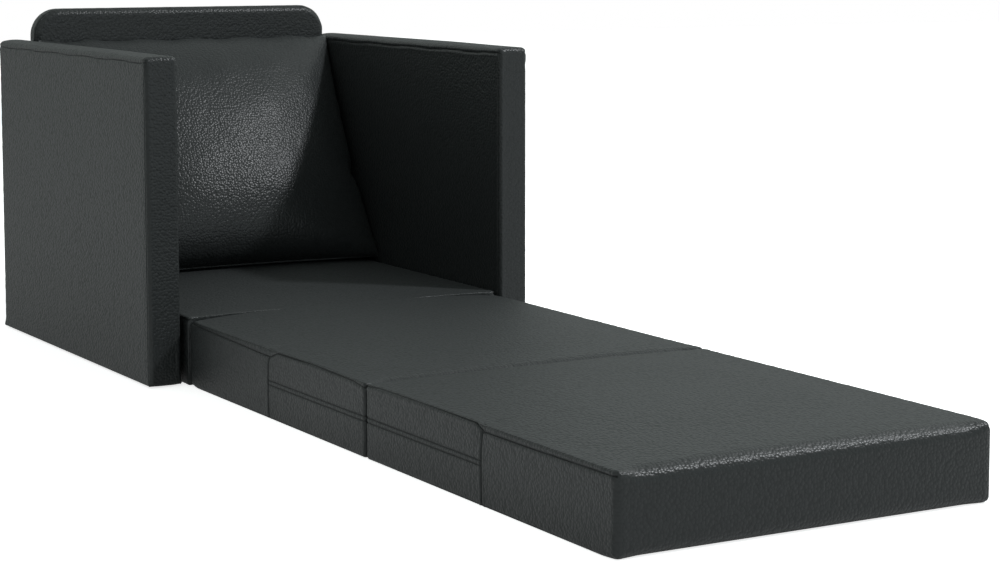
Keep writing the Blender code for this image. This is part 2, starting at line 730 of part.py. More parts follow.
def pillow():
    """Cover with a zip along its lower seam, and the filling."""
    boxes = []
    for kind, ease in (("slot", FIT), ("band", 0)):
        half = PILLOW_ZIP_LENGTH / 2 + ease
        low = (-half, -PILLOW_SEAM_THICKNESS - PILLOW_ZIP_DEPTH, -ZIP_WIDTH / 2 - ease)
        high = (half, PILLOW_ZIP_DEPTH, ZIP_WIDTH / 2 + ease)
        box = cutter_box(f"pillow_{kind}_cutter", low, high)
        box.location = pillow_point(0, PILLOW_END_DRAW, 0)
        box.rotation_euler = (math.pi / 2 - PILLOW_LEAN, 0, 0)
        boxes.append(box)
    slot, band = boxes
    cover = walled(subdivided(object_of("pillow_cover", pillow_cage())))
    boolean(cover, slot, "DIFFERENCE")
    finished(cover, LEATHER, PILLOW_PLACE)
    tape = walled(subdivided(object_of("pillow_zip", pillow_cage())))
    boolean(tape, band, "INTERSECT")
    finished(tape, ZIP_TAPE, PILLOW_PLACE)
    filling = subdivided(object_of("pillow_filling", pillow_cage()))
    shrink = filling.modifiers.new("inside_cover", "DISPLACE")
    shrink.strength = -(COVER_WALL + 3 * FIT)
    shrink.mid_level = 0
    finished(filling, FILLING, PILLOW_PLACE)


def fixed_frame():
    """Arms, backrest, rear section and the bolts between them."""
    back_cover, back_foam, board, board_half = backrest()
    seat_cover, base_board = rear_section()
    back_line = BACKREST_FRONT + BACKREST_THICKNESS / 2
    seat_line = COVER_WALL + 2 * FIT + REAR_BASE_THICKNESS / 2
    for side, name in ((-1, "left"), (1, "right")):
        pieces = arm(side, f"{name}_arm")
        head = pieces["rail_outer"] + side * 2 * FIT
        wrapped = (pieces["cover"], pieces["foam"], pieces["inner_panel"], pieces["outer_panel"])
        for label, height in zip(("lower", "upper"), BACK_BOLT_HEIGHTS):
            through = (*wrapped, pieces["rear_post"], back_cover, back_foam, board)
            length = abs(head) - board_half + BACK_BOLT_BITE
            bolt(f"{name}_{label}_back_bolt", side, (head, back_line, height), length, through)
        seat_bolts = (("front", ARM_FRONT + SEAT_BOLT_FRONT_INSET), ("rear", ARM_BACK - SEAT_BOLT_REAR_INSET))
        for label, place in seat_bolts:
            through = (*wrapped, pieces["bottom_rail"], seat_cover, base_board)
            length = abs(head) - SECTION_WIDTH / 2 + SEAT_BOLT_BITE
            bolt(f"{name}_{label}_seat_bolt", side, (head, place, seat_line), length, through)
            start = (side * (SECTION_WIDTH / 2 + FIT), place, seat_line)
            spacer(f"{name}_{label}_seat_spacer", side, start, ARM_INNER - SECTION_WIDTH / 2)


def folding_mattress():
    """The middle and the front section, their zips and the tapes that they fold on."""
    folding_section("middle_section", MIDDLE, MIDDLE_FRONT, 1, MIDDLE_AXIS)
    folding_section("front_section", FRONT, FRONT_REAR, -1, FRONT_AXIS)
    zip_slider("middle_zip_slider", MIDDLE_FRONT, 1, MIDDLE_AXIS)
    zip_slider("front_zip_slider", FRONT_REAR, -1, FRONT_AXIS)
    hinge_tape("rear_hinge_tape", MIDDLE_REAR, SECTION_HEIGHT - SECTION_EDGE, MIDDLE_AXIS)
    hinge_tape("front_hinge_tape", FRONT_REAR, SECTION_EDGE + TAPE_HEIGHT, FRONT_AXIS)


fixed_frame()
folding_mattress()
pillow()
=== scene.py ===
# %% [markdown]
# # A single sofa bed in black faux leather
# The bed is shown opened: two slab arms and a backrest stand round a short seat, two more mattress
# sections lie in front of it on the floor, and a loose pillow leans in the corner. Everything we see is
# sewn cloth over foam, so this lesson is mostly about three things: soft blocks with sewn edges, a
# pillow that is blown up by a cloth simulation, and one good leather.
#
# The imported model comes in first. Its pieces have the real sizes and places, so every new piece is put
# where a packed one is, and takes its place in the picture.

import json
import math

import bpy
import numpy as np
from mathutils import Matrix, Vector


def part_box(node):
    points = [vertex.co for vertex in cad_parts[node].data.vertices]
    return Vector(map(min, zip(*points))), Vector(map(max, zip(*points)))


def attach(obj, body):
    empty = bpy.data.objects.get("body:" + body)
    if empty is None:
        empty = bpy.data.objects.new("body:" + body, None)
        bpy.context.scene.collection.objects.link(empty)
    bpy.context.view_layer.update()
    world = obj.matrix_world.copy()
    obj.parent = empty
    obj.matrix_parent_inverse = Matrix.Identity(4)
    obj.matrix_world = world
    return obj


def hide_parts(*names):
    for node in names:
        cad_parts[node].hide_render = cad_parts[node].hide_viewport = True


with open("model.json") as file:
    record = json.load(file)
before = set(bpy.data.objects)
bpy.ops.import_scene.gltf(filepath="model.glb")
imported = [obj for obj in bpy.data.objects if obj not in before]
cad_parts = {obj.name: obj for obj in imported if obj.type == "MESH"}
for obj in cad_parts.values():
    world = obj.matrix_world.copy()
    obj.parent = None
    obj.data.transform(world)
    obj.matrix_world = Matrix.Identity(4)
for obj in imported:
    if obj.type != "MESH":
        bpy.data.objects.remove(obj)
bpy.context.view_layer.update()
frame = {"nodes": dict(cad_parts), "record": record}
nodes = frame["nodes"]

# %% [markdown]
# ## The camera
# The photograph was taken with a long lens from the foot of the bed, a little above it, with upright
# edges kept upright. A level camera that is shifted down does that. Every other view of the bed keeps
# the shift too, so here it is only a part of the whole, and the camera looks down by the rest. Its
# place and lens come from fitting the bed's corners to their places in the picture.

# %% Camera
YAW, PITCH, ROLL = (math.radians(angle) for angle in (30.1395, 5.7430, -0.0402))


def camera_turn(yaw, pitch, roll):
    """The turn that looks yaw to the right of +Y and pitch below level, leaning by roll."""
    ahead = Vector((math.sin(yaw) * math.cos(pitch), math.cos(yaw) * math.cos(pitch), -math.sin(pitch)))
    level = Vector((math.cos(yaw), -math.sin(yaw), 0))
    upright = level.cross(ahead)
    right = level * math.cos(roll) + upright * math.sin(roll)
    up = upright * math.cos(roll) - level * math.sin(roll)
    return Matrix((right, up, -ahead)).transposed()


lens = bpy.data.cameras.new("camera")
lens.sensor_width = 36
lens.lens = 84.623
lens.shift_y = -0.10
camera = bpy.data.objects.new("camera", lens)
camera.rotation_euler = camera_turn(YAW, PITCH, ROLL).to_euler()
camera.location = (-1.81841, -3.38426, 0.74267)
bpy.context.scene.collection.objects.link(camera)
bpy.context.scene.camera = camera
print("the camera stands", round(camera.location.length, 2), "m from the bed's middle")

# %% [markdown]
# ## Light
# The picture is a studio cut-out: white all round, with soft light. Black leather shows almost nothing
# of its own colour. What we see on it are the white surroundings in its gloss, so the white world does
# most of the work. One small lamp high on the right gives the grain its sparkle and draws the slanting
# shadow of the right arm on the pillow. Two weak, wide lamps lift the front and the left. Rays from the
# camera and from glossy surfaces find a white world, while the light that falls on dull surfaces is
# weaker, so that colours come out as they are written.

# %% World and lamps


def white_world(fill):
    """A world that looks white and lights dull surfaces with the strength fill, in a faint green."""
    world = bpy.data.worlds.new("studio")
    world.use_nodes = True
    tree = world.node_tree
    background = tree.nodes["Background"]
    path = tree.nodes.new("ShaderNodeLightPath")
    colour = tree.nodes.new("ShaderNodeMix")
    colour.data_type = "RGBA"
    share, elsewhere, in_camera = (colour.inputs[number] for number in (0, 6, 7))
    mixed = colour.outputs[2]
    elsewhere.default_value = (0.92, 1.0, 0.97, 1)
    in_camera.default_value = (1, 1, 1, 1)
    tree.links.new(path.outputs["Is Camera Ray"], share)
    tree.links.new(mixed, background.inputs["Color"])
    seen = path.outputs["Is Camera Ray"]
    for kind in ("Is Glossy Ray", "Is Transmission Ray"):
        either = tree.nodes.new("ShaderNodeMath")
        either.operation = "MAXIMUM"
        tree.links.new(seen, either.inputs[0])
        tree.links.new(path.outputs[kind], either.inputs[1])
        seen = either.outputs[0]
    strength = tree.nodes.new("ShaderNodeMapRange")
    strength.inputs["To Min"].default_value = fill
    strength.inputs["To Max"].default_value = 1.0
    tree.links.new(seen, strength.inputs["Value"])
    tree.links.new(strength.outputs[0], background.inputs["Strength"])
    bpy.context.scene.world = world


def soft_lamp(name, place, target, width, power, colour):
    """A square area lamp that points at target."""
    light = bpy.data.lights.new(name, "AREA")
    light.size = width
    light.energy = power
    light.color = colour
    lamp = bpy.data.objects.new(name, light)
    lamp.location = place
    lamp.rotation_euler = (Vector(target) - Vector(place)).to_track_quat("-Z", "Y").to_euler()
    bpy.context.scene.collection.objects.link(lamp)


bpy.context.scene.view_settings.view_transform = "Standard"
white_world(0.42)
soft_lamp("key_lamp", (2.45, -1.5, 3.4), (0.1, 0.75, 0.35), width=0.3, power=145, colour=(0.95, 0.97, 1.0))
soft_lamp("left_lamp", (-3.2, -2.6, 2.0), (0.2, 0.5, 0.3), width=1.6, power=15, colour=(0.92, 0.97, 1.0))
soft_lamp("front_lamp", (0.9, -5.2, 1.5), (0, -0.9, 0.1), width=0.9, power=14, colour=(0.80, 0.90, 1.0))

# %% [markdown]
# ## Shader maths as sentences
# A material is a tree of nodes. To keep its sums readable, one small class stands for an output socket
# and turns +, - and * into Math nodes. Any other node is made by one method, which sets the node's own
# settings first and then fills or links its sockets.

# %% Wires and finishes


class Wire:
    """An output socket of a finish's tree."""

    def __init__(self, finish, socket):
        self.finish = finish
        self.socket = socket

    def math(self, operation, first, second=0.0, clamp=False):
        settings = {"operation": operation, "use_clamp": clamp}
        return self.finish.add("ShaderNodeMath", settings, {0: first, 1: second})

    def __add__(self, other):
        return self.math("ADD", self, other)

    def __sub__(self, other):
        return self.math("SUBTRACT", self, other)

    def __mul__(self, other):
        return self.math("MULTIPLY", self, other)

    def __rsub__(self, other):
        return self.math("SUBTRACT", other, self)

    def held(self):
        """The value, kept between 0 and 1."""
        return self.math("ADD", self, 0.0, clamp=True)

    __radd__ = __add__
    __rmul__ = __mul__


class Finish:
    """A material that is being made. Its nodes are added and joined through add."""

    def __init__(self, name):
        self.material = bpy.data.materials.new(name)
        self.material.use_nodes = True
        self.shader = self.material.node_tree.nodes["Principled BSDF"]

    def add(self, kind, settings=None, inputs=None, output=0):
        node = self.material.node_tree.nodes.new(kind)
        for key, value in (settings or {}).items():
            setattr(node, key, value)
        for key, value in (inputs or {}).items():
            self.join(node.inputs[key], value)
        return Wire(self, node.outputs[output])

    def join(self, socket, value):
        if isinstance(value, Wire):
            self.material.node_tree.links.new(value.socket, socket)
        else:
            socket.default_value = value

    def surface(self, **values):
        """Sets or links sockets of the shader: Base_Color stands for Base Color."""
        for key, value in values.items():
            self.join(self.shader.inputs[key.replace("_", " ")], value)

    def blend(self, share, first, second):
        """A colour between two colours."""
        return self.add("ShaderNodeMix", {"data_type": "RGBA"}, {0: share, 6: first, 7: second}, 2)

    def place(self, scale=(1, 1, 1)):
        """The point on the object, in metres, stretched by scale."""
        spot = self.add("ShaderNodeTexCoord", output="Object")
        return self.add("ShaderNodeMapping", {}, {"Vector": spot, "Scale": scale})

    def noise(self, place, size, detail=3.0, rough=0.55):
        """Soft noise from 0 to 1 whose lumps are about size metres across."""
        sockets = {"Vector": place, "Scale": 1 / size, "Detail": detail, "Roughness": rough}
        return self.add("ShaderNodeTexNoise", {}, sockets)

    def bump(self, height, depth):
        """A normal from a height of 0 to 1 that stands for depth metres."""
        return self.add("ShaderNodeBump", {}, {"Height": height, "Distance": depth, "Strength": 1.0})


print("tools for finishes:", Wire.__name__, "and", Finish.__name__)

# %% [markdown]
# ## The leather
# Faux leather is a plastic film pressed with a pebble grain. The pebbles are low domes about five
# millimetres across that meet in thin valleys. A Voronoi texture gives the distance to the middle of
# the nearest pebble, 1 minus 1.6 times its square is a dome, and noise bends the borders. A dome has
# every slope once, so each pebble catches the lamp at one small spot, and that is the film's sparkle.
# Larger, weaker noise is the film's relaxing over foam. Seen edge-on, pebbles hide each other's gloss,
# so the film is duller there. It is dullest where it is sewn, and there its colour is darkened as painted
# shade of the sewn groove: each piece carries its own attribute seam_mm, the distance to its nearest
# seam, and the shader draws the sewn line from that, so the line stays sharp however coarse the mesh is.

# %% Leather finish


def leather(name, dark, pale, roughness, relief=0.00054, cell=0.0048):
    """Pebbled film: domes of 1 - 1.6 d^2 with bent borders, a slow unevenness and a pressed-in sewn line."""
    made = Finish(name)
    spot = made.place()
    warp = made.add("ShaderNodeTexNoise", {}, {"Vector": spot, "Scale": 1 / 0.009, "Detail": 2.0}, "Color")
    moved = {0: warp, 1: (0.0018, 0.0018, 0.0018), 2: spot}
    bent = made.add("ShaderNodeVectorMath", {"operation": "MULTIPLY_ADD"}, moved)
    cells = {"Vector": bent, "Scale": 1 / cell, "Randomness": 0.8}
    off_middle = made.add("ShaderNodeTexVoronoi", {"feature": "F1"}, cells)
    pebble = (1 - off_middle * off_middle * 1.6).held()
    slow = made.noise(spot, 0.022, 2.0)
    dapple = made.noise(spot, 0.009, 4.0)
    seam = made.add("ShaderNodeAttribute", {"attribute_name": "seam_mm"}, output="Fac")
    line = ((1.2 - seam) * 1.1).held()
    # Painted shade: the pebble half of the tone makes the dome tops paler and the valleys between them
    # darker; the dapple half is the film's random tone.
    tone = (dapple * 0.5 + pebble * 0.5).held()
    colour = made.blend(tone, (*dark, 1), (*pale, 1))
    # Painted shade: along the sewn line the colour goes nearly black, standing in for the shade in the seam's
    # groove.
    colour = made.blend(line * 0.75, colour, (0.004, 0.004, 0.004, 1))
    facing = made.add("ShaderNodeLayerWeight", {}, {"Blend": 0.5}, "Facing")
    edge_on = facing * facing
    height = pebble * (1 - line) + slow * 0.8 + dapple * 0.2 - line * 1.2
    dull = roughness - 0.04 + dapple * 0.06 + (1 - pebble) * 0.08 + line * 0.2 + edge_on * 0.44
    made.surface(
        Base_Color=colour,
        Roughness=dull.held(),
        Normal=made.bump(height, relief),
        Specular_IOR_Level=0.15,
    )
    return made.material


LEATHER = leather("black_leather", (0.015, 0.0165, 0.0165), (0.023, 0.0252, 0.0255), 0.29)
# The piping's paler film is a painted highlight: it stands in for the light that the welt catches from the
# white world above.
PIPING_PAINTED_HIGHLIGHT = leather("black_piping_painted_highlight", (0.035, 0.038, 0.038), (0.045, 0.049, 0.049), 0.30)
print("leather:", len(LEATHER.node_tree.nodes), "nodes, and a paler one for the piping:", PIPING_PAINTED_HIGHLIGHT.name)

# %% [markdown]
# ## Finishes of the pieces that stay
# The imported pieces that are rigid, such as timber, boards, bolts and glides, keep their own shape and
# only get a material. Most are out of sight inside the arms, but someone may take the bed apart.

# %% Wood, foam, steel, plastic and cloth


def wood(name, dark, pale, ring, along):
    """Grain drawn out along one axis, with finer fibres across it."""
    made = Finish(name)
    stretch = [1.0 / ring] * 3
    stretch[along] = 0.06 / ring
    spot = made.place(tuple(stretch))
    wavy = {"Vector": spot, "Scale": 1.0, "Detail": 4.0, "Distortion": 0.6}
    bands = made.add("ShaderNodeTexNoise", {}, wavy)
    fibre = made.add("ShaderNodeTexNoise", {}, {"Vector": spot, "Scale": 9.0, "Detail": 2.0})
    share = (bands * 1.6 - 0.3 + fibre * 0.25).held()
    tone = made.blend(share, (*dark, 1), (*pale, 1))
    made.surface(Base_Color=tone, Roughness=0.55 + fibre * 0.2, Normal=made.bump(fibre, 0.0002))
    return made.material


def speckled(name, dark, pale, size, roughness, depth):
    """An even stuff, such as foam, felt or moulded plastic, with fine specks."""
    made = Finish(name)
    specks = made.noise(made.place(), size, 3.0, 0.7)
    tone = made.blend(specks, (*dark, 1), (*pale, 1))
    made.surface(Base_Color=tone, Roughness=roughness, Normal=made.bump(specks, depth))
    return made.material


def brushed_steel(name):
    """Zinc plate with fine brushing."""
    made = Finish(name)
    spot = made.place((4000, 300, 300))
    streaks = made.add("ShaderNodeTexNoise", {}, {"Vector": spot, "Scale": 1.0, "Detail": 2.0})
    made.surface(Base_Color=(0.60, 0.61, 0.63, 1), Metallic=1.0, Roughness=0.25 + streaks * 0.2)
    made.surface(Normal=made.bump(streaks, 0.00005))
    return made.material


def zip_cloth(name):
    """Woven tape: fine ribs along the zip."""
    made = Finish(name)
    bands = {"wave_type": "BANDS", "bands_direction": "Z"}
    ribs = made.add("ShaderNodeTexWave", bands, {"Vector": made.place(), "Scale": 900.0, "Distortion": 0.4})
    tone = made.blend(ribs, (0.010, 0.010, 0.011, 1), (0.03, 0.03, 0.032, 1))
    made.surface(Base_Color=tone, Roughness=0.8, Normal=made.bump(ribs, 0.0002))
    return made.material


FINISHES = {
    "plywood": wood("plywood", (0.42, 0.29, 0.16), (0.66, 0.50, 0.31), 0.012, 1),
    "pine": wood("pine", (0.56, 0.38, 0.20), (0.76, 0.58, 0.36), 0.009, 2),
    "foam": speckled("foam", (0.62, 0.55, 0.36), (0.78, 0.72, 0.52), 0.0012, 0.95, 0.0006),
    "pillow_filling": speckled("filling", (0.72, 0.72, 0.70), (0.88, 0.88, 0.86), 0.004, 0.95, 0.002),
    "black_lining": speckled("black_lining", (0.012,) * 3, (0.035,) * 3, 0.0015, 0.9, 0.0002),
    "black_plastic": speckled("black_plastic", (0.025, 0.025, 0.026), (0.04, 0.04, 0.041), 0.0006, 0.5, 4e-5),
    "zinc_steel": brushed_steel("zinc_steel"),
    "zip_tape": zip_cloth("zip_tape"),
    "black_leather": LEATHER,
}
UNSEWN = 99.0
for part in frame["record"]["subparts"]:
    packed = nodes[part["node"]].data
    packed.materials.clear()
    packed.materials.append(FINISHES[part["material_slot"]])
    if part["material_slot"] == "black_leather":
        seam = packed.attributes.new("seam_mm", "FLOAT", "POINT")
        seam.data.foreach_set("value", np.full(len(packed.vertices), UNSEWN, np.float32))

# %% [markdown]
# ## Soft blocks
# An arm, a backrest and a mattress section are all blocks with sewn edges. A cube with a Bevel would
# give every edge the same roll. Here the block's six faces are one grid whose lines lie close together
# near the edges and the seams, and every point is worked out at once: it goes to the nearest point of a
# smaller block inside, and out again along an ellipse. The ellipse may differ from place to place, so
# one edge can be tight and the next one a soft roll.

# %% Grid lines


def eased(low, high, count, lean=0.85):
    """count + 1 places from low to high, closer at both ends: t - lean * sin(2 pi t) / (2 pi)."""
    t = np.linspace(0, 1, count + 1)
    return low + (high - low) * (t - lean * np.sin(2 * np.pi * t) / (2 * np.pi))


def with_fine(lines, *spans):
    """The lines, with those inside each span of (low, high, step) replaced by lines step apart."""
    for low, high, step in spans:
        lines = lines[(lines < low - step / 2) | (lines > high + step / 2)]
        lines = np.append(lines, np.arange(low, high + step / 2, step))
    return np.sort(lines)


print("eight eased steps from 0 to 1:", np.round(eased(0, 1, 8), 2))

# %% Blocks


def block_grid(*lines):
    """Points and outward faces of the outside of a block whose grid lines are given for x, y and z.

    Every crossing of the lines has a number. The faces of one side join numbers that lie next to each
    other, and the sides share the numbers on their edges, so the block is closed.
    """
    shape = tuple(len(line) for line in lines)
    number = np.arange(np.prod(shape)).reshape(shape)
    faces = []
    for axis in range(3):
        turned = np.moveaxis(number, axis, 0)
        for end in (0, 1):
            sheet = turned[-end]
            corners = (sheet[:-1, :-1], sheet[1:, :-1], sheet[1:, 1:], sheet[:-1, 1:])
            face = np.stack(corners, -1).reshape(-1, 4)
            outward = (axis != 1) == (end == 1)
            faces.append(face if outward else face[:, ::-1])
    used, local = np.unique(np.concatenate(faces), return_inverse=True)
    spots = np.unravel_index(used, shape)
    return np.stack([line[spot] for line, spot in zip(lines, spots)], -1), local.reshape(-1, 4)


def eased_block(low, high, *ways):
    """The block from low to high, with eased lines: ways gives count and lean for x, y and z."""
    return block_grid(*(eased(*span, *way) for *span, way in zip(low, high, ways)))


def rolled(points, low, high, radii, power=2.0):
    """Rolls the block's edges: core + radii * n * max|n| / |n|, with n = (point - core) / radii.

    core is the nearest point of the block that is smaller by radii on every side. |n| is the sum of
    |n|^power to the power 1/power: 2 makes an ellipse, and more keeps the edge fuller.
    """
    core = np.clip(points, np.asarray(low) + radii, np.asarray(high) - radii)
    away = (points - core) / radii
    reach = np.abs(away).max(-1, keepdims=True)
    length = np.maximum((np.abs(away) ** power).sum(-1, keepdims=True) ** (1 / power), 1e-9)
    return core + radii * away * reach / length


print("a block of 2 x 2 x 2 cells has", len(block_grid(*[np.arange(3.0)] * 3)[0]), "points on its outside")

# %% Ramps, swells and normals


def ramp(value, start, end):
    """0 before start, 1 after end and 3 t^2 - 2 t^3 between them."""
    t = np.clip((value - start) / (end - start), 0, 1)
    return t * t * (3 - 2 * t)


def swell(points, seed, size, height):
    """A smooth unevenness: the mean of 14 sines in seeded directions, with waves about size metres long."""
    chance = np.random.default_rng(seed)
    ways = chance.normal(size=(14, 3))
    ways *= (2 * np.pi / size * chance.uniform(0.6, 1.5, 14) / np.linalg.norm(ways, axis=1))[:, None]
    phases = chance.uniform(0, 2 * np.pi, 14)
    return height * np.sin(points @ ways.T + phases).mean(-1) * 2


def normals_of(points, faces):
    """Unit normals at the points: the sum of the crossed diagonals of the faces round each."""
    crossed = np.cross(points[faces[:, 2]] - points[faces[:, 0]], points[faces[:, 3]] - points[faces[:, 1]])
    total = np.zeros_like(points)
    for corner in range(4):
        np.add.at(total, faces[:, corner], crossed)
    return total / np.maximum(np.linalg.norm(total, axis=1, keepdims=True), 1e-12)


print("a quarter of the way along, a ramp is at", ramp(0.25, 0, 1))

# %% Meshes


def mesh_object(name, points, faces, material, seam=None):
    """A smooth mesh from whole arrays, with the distance to its seams, in millimetres, as seam_mm."""
    mesh = bpy.data.meshes.new(name)
    sides = faces.shape[1]
    mesh.vertices.add(len(points))
    mesh.vertices.foreach_set("co", points.astype(np.float32).ravel())
    mesh.loops.add(faces.size)
    mesh.loops.foreach_set("vertex_index", faces.astype(np.int32).ravel())
    mesh.polygons.add(len(faces))
    mesh.polygons.foreach_set("loop_start", np.arange(0, faces.size, sides, dtype=np.int32))
    mesh.update(calc_edges=True)
    mesh.shade_smooth()
    mesh.materials.append(material)
    distance = np.full(len(points), UNSEWN) if seam is None else np.minimum(seam * 1000, UNSEWN)
    mesh.attributes.new("seam_mm", "FLOAT", "POINT").data.foreach_set("value", distance.astype(np.float32))
    made = bpy.data.objects.new(name, mesh)
    bpy.context.scene.collection.objects.link(made)
    return made


def soft_piece(made, body, *stands_for, fill=0.9):
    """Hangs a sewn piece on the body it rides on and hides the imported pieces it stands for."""
    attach(made, body)
    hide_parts(*stands_for)
    return made


print("a seam further than", UNSEWN, "mm away counts as none")

# %% [markdown]
# ## Seams
# Where two pieces of film are sewn together, the thread pulls them into the foam: a narrow valley with
# two small lips, and short puckers that fade away from it. The same function makes that on every block
# from the distance to the seam and the way along it. A seam is switched off somewhere by adding FAR
# metres to its distance.

# %% Sewing
FAR = 9


def sewn(points, faces, distance, along, seed, valley=0.0016, pucker=0.0007, reach=0.014):
    """Presses seams into a surface: -valley * exp(-(d/w)^2), a lip beside it, and puckers along it.

    The puckers are two sines along the seam times exp(-d / reach).
    """
    chance = np.random.default_rng(seed)
    first, second = chance.uniform(0, 2 * np.pi, 2)
    waves = np.sin(2 * np.pi * along / 0.027 + first + 1.5 * np.sin(2 * np.pi * along / 0.11 + second))
    waves = waves + 0.6 * np.sin(2 * np.pi * along / 0.0145 + second)
    pressed_in = -valley * np.exp(-((distance / 0.0022) ** 2))
    lips = 0.35 * valley * np.exp(-(((distance - 0.005) / 0.003) ** 2))
    puckers = pucker * waves * np.exp(-distance / reach) * (1 - np.exp(-((distance / 0.002) ** 2)))
    return points + normals_of(points, faces) * (pressed_in + lips + puckers)[:, None]


sheet = np.array([[0, 0, 0], [1, 0, 0], [1, 1, 0], [0, 1, 0]], float)
sheet = sewn(sheet, np.array([[0, 1, 2, 3]]), np.zeros(4), np.zeros(4), seed=1)
print("a seam goes", round(-float(sheet[0, 2]) * 1000, 2), "mm deep")

# %% [markdown]
# ## The arms
# Each arm is a ladder of timber between two boards, wrapped in foam. Its cover is two large panels and
# one strip 6 cm wide that runs up the front, along the top and down the back. The panels curve in over
# the last two and a half centimetres before the strip, which is what catches the light at the front.
# The strip's seams wander a little because the top is stretched by hand before it is stapled.

# %% Arms
ARM_TOP_ROOM = 0.0025
STRIP_SEAM_DOWN = 0.0095
HEM_LIFT = 0.0018
PANEL_ROLL = np.array([0.0045, 0.024, 0.004])
TOP_ROLL = np.array([0.008, 0.010, 0.010])
FOOT_ROLL = np.array([0.0035, 0.006, 0.004])


def arm_cover(name, side):
    """A slab with tight top edges, panels that roll in towards the strip, and a hem round its foot."""
    low, high = (np.array(corner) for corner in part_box(f"{name}_cover"))
    high[2] -= ARM_TOP_ROOM
    middle = (low[0] + high[0]) / 2
    points, faces = eased_block(low, high, (22, 0.6), (130, 0.9), (100, 0.9))
    near_top = ramp(points[:, 2], high[2] - 0.045, high[2] - 0.015)[:, None]
    near_foot = 1 - ramp(points[:, 2], low[2], low[2] + 0.02)[:, None]
    radii = PANEL_ROLL * (1 - near_top) + TOP_ROLL * near_top
    radii = radii * (1 - near_foot) + FOOT_ROLL * near_foot
    on_panel = np.isclose(np.abs(points[:, 0] - middle), (high[0] - low[0]) / 2)
    shaped = rolled(points, low, high, radii)
    across = (shaped[:, 0] - middle) / (high[0] - low[0]) * 2
    climb = (shaped[:, 2] - low[2]) / (high[2] - low[2])
    back = (shaped[:, 1] - low[1]) / (high[1] - low[1])
    top = ramp(shaped[:, 2], high[2] - 0.03, high[2])
    shaped[:, 2] += top * 0.004 * (1 - across**2) * (0.45 + 0.55 * ramp(back, 0, 0.35))
    belly = 16 * climb * (1 - climb) * back * (1 - back)
    uneven = swell(shaped, 3 + side, 0.19, 0.0007)
    shaped[:, 0] += np.sign(across) * on_panel * (0.0006 * belly + uneven * belly)
    turns = 2 * np.pi * shaped[:, 1]
    wander = 0.0008 * np.sin(turns / 0.16 + 2 * side) + 0.0003 * np.sin(turns / 0.047)
    seam_top = np.abs(shaped[:, 2] - (high[2] - STRIP_SEAM_DOWN) - wander) + FAR * (np.abs(across) < 0.86)
    inset = np.minimum(points[:, 1] - low[1], high[1] - points[:, 1])
    end_face = np.isclose(inset, 0)
    from_edge = np.where(end_face, (1 - np.abs(across)) * (high[0] - low[0]) / 2, inset + 0.003)
    seam_end = np.abs(from_edge - 0.0035) + 0.0009 + FAR * (shaped[:, 2] > high[2] - 0.004)
    distance = np.minimum(seam_top, seam_end)
    along = np.where(seam_top < seam_end, shaped[:, 1], shaped[:, 2]) + 0.05 * np.sign(across)
    shaped = sewn(shaped, faces, distance, along, 11 + side, valley=0.0012, pucker=0.0003, reach=0.009)
    inner = (np.abs(across) < 0.9) & (back > 0.004) & (back < 0.996) & np.isclose(points[:, 2], low[2])
    shaped[:, 2] = np.maximum(shaped[:, 2], low[2])
    shaped[inner, 2] = low[2] + HEM_LIFT
    cover = mesh_object(f"{name}_upholstery", shaped, faces, LEATHER, distance)
    return soft_piece(cover, "frame", f"{name}_cover")


for side, name in ((-1, "left_arm"), (1, "right_arm")):
    made = arm_cover(name, side)
    print(made.name, len(made.data.polygons), "faces")

# %% [markdown]
# ## The backrest
# The backrest is a thinner padded board between the arms. Seen from the front it has round upper
# corners, and only its top shows above the pillow. The block's front and back edges are rolled first,
# and then its two upper corners are drawn in, which keeps that roll all the way round the corner.

# %% Backrest


def backrest_cover():
    """A padded board: c + d * max|d| / |d| at its upper corners, after a roll of its front and back edges.

    The roll is the same formula with d = (out of the board, the larger of across and up).
    """
    low, high = (np.array(corner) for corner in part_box("backrest_cover"))
    corner_radius = 0.052
    radius = np.array([0.014, 0.016, 0.014])
    points, faces = eased_block(low, high, (90, 0.9), (20, 0.6), (90, 0.9))
    core = np.clip(points, low + radius, high - radius)
    out = (points - core) / radius
    sideways = np.maximum(np.abs(out[:, 0]), np.abs(out[:, 2]))
    share = np.maximum(sideways, np.abs(out[:, 1])) / np.maximum(np.hypot(sideways, out[:, 1]), 1e-9)
    shaped = core + radius * out * share[:, None]
    centre_x = np.sign(shaped[:, 0]) * (high[0] - corner_radius)
    centre = np.stack([centre_x, np.full(len(shaped), high[2] - corner_radius)], -1)
    flat = shaped[:, [0, 2]]
    away = flat - centre
    in_corner = (np.sign(shaped[:, 0]) * away[:, 0] > 0) & (away[:, 1] > 0)
    reach = np.abs(away).max(-1) / np.maximum(np.linalg.norm(away, axis=1), 1e-9)
    shaped[:, [0, 2]] = np.where(in_corner[:, None], centre + away * reach[:, None], flat)
    shaped[:, 1] += swell(shaped, 21, 0.22, 0.0004) * (shaped[:, 2] > 0.02)
    back = points[:, 1] - low[1]
    inwards = np.minimum(high[0] - np.abs(points[:, 0]), high[2] - points[:, 2])
    distance = np.hypot(back - 0.006, inwards)
    shaped[:, 1] = np.clip(shaped[:, 1], low[1], high[1])
    along = shaped[:, 0] + shaped[:, 2]
    shaped = sewn(shaped, faces, distance, along, 22, valley=0.0010, pucker=0.0004)
    inner = (np.abs(points[:, 0]) < high[0] - 0.003) & np.isclose(points[:, 2], low[2])
    inner &= (back > 0.003) & (back < 0.041)
    shaped[inner, 2] = low[2] + HEM_LIFT
    cover = mesh_object("backrest_upholstery", shaped, faces, LEATHER, distance)
    return soft_piece(cover, "frame", "backrest_cover")


print(backrest_cover().name)

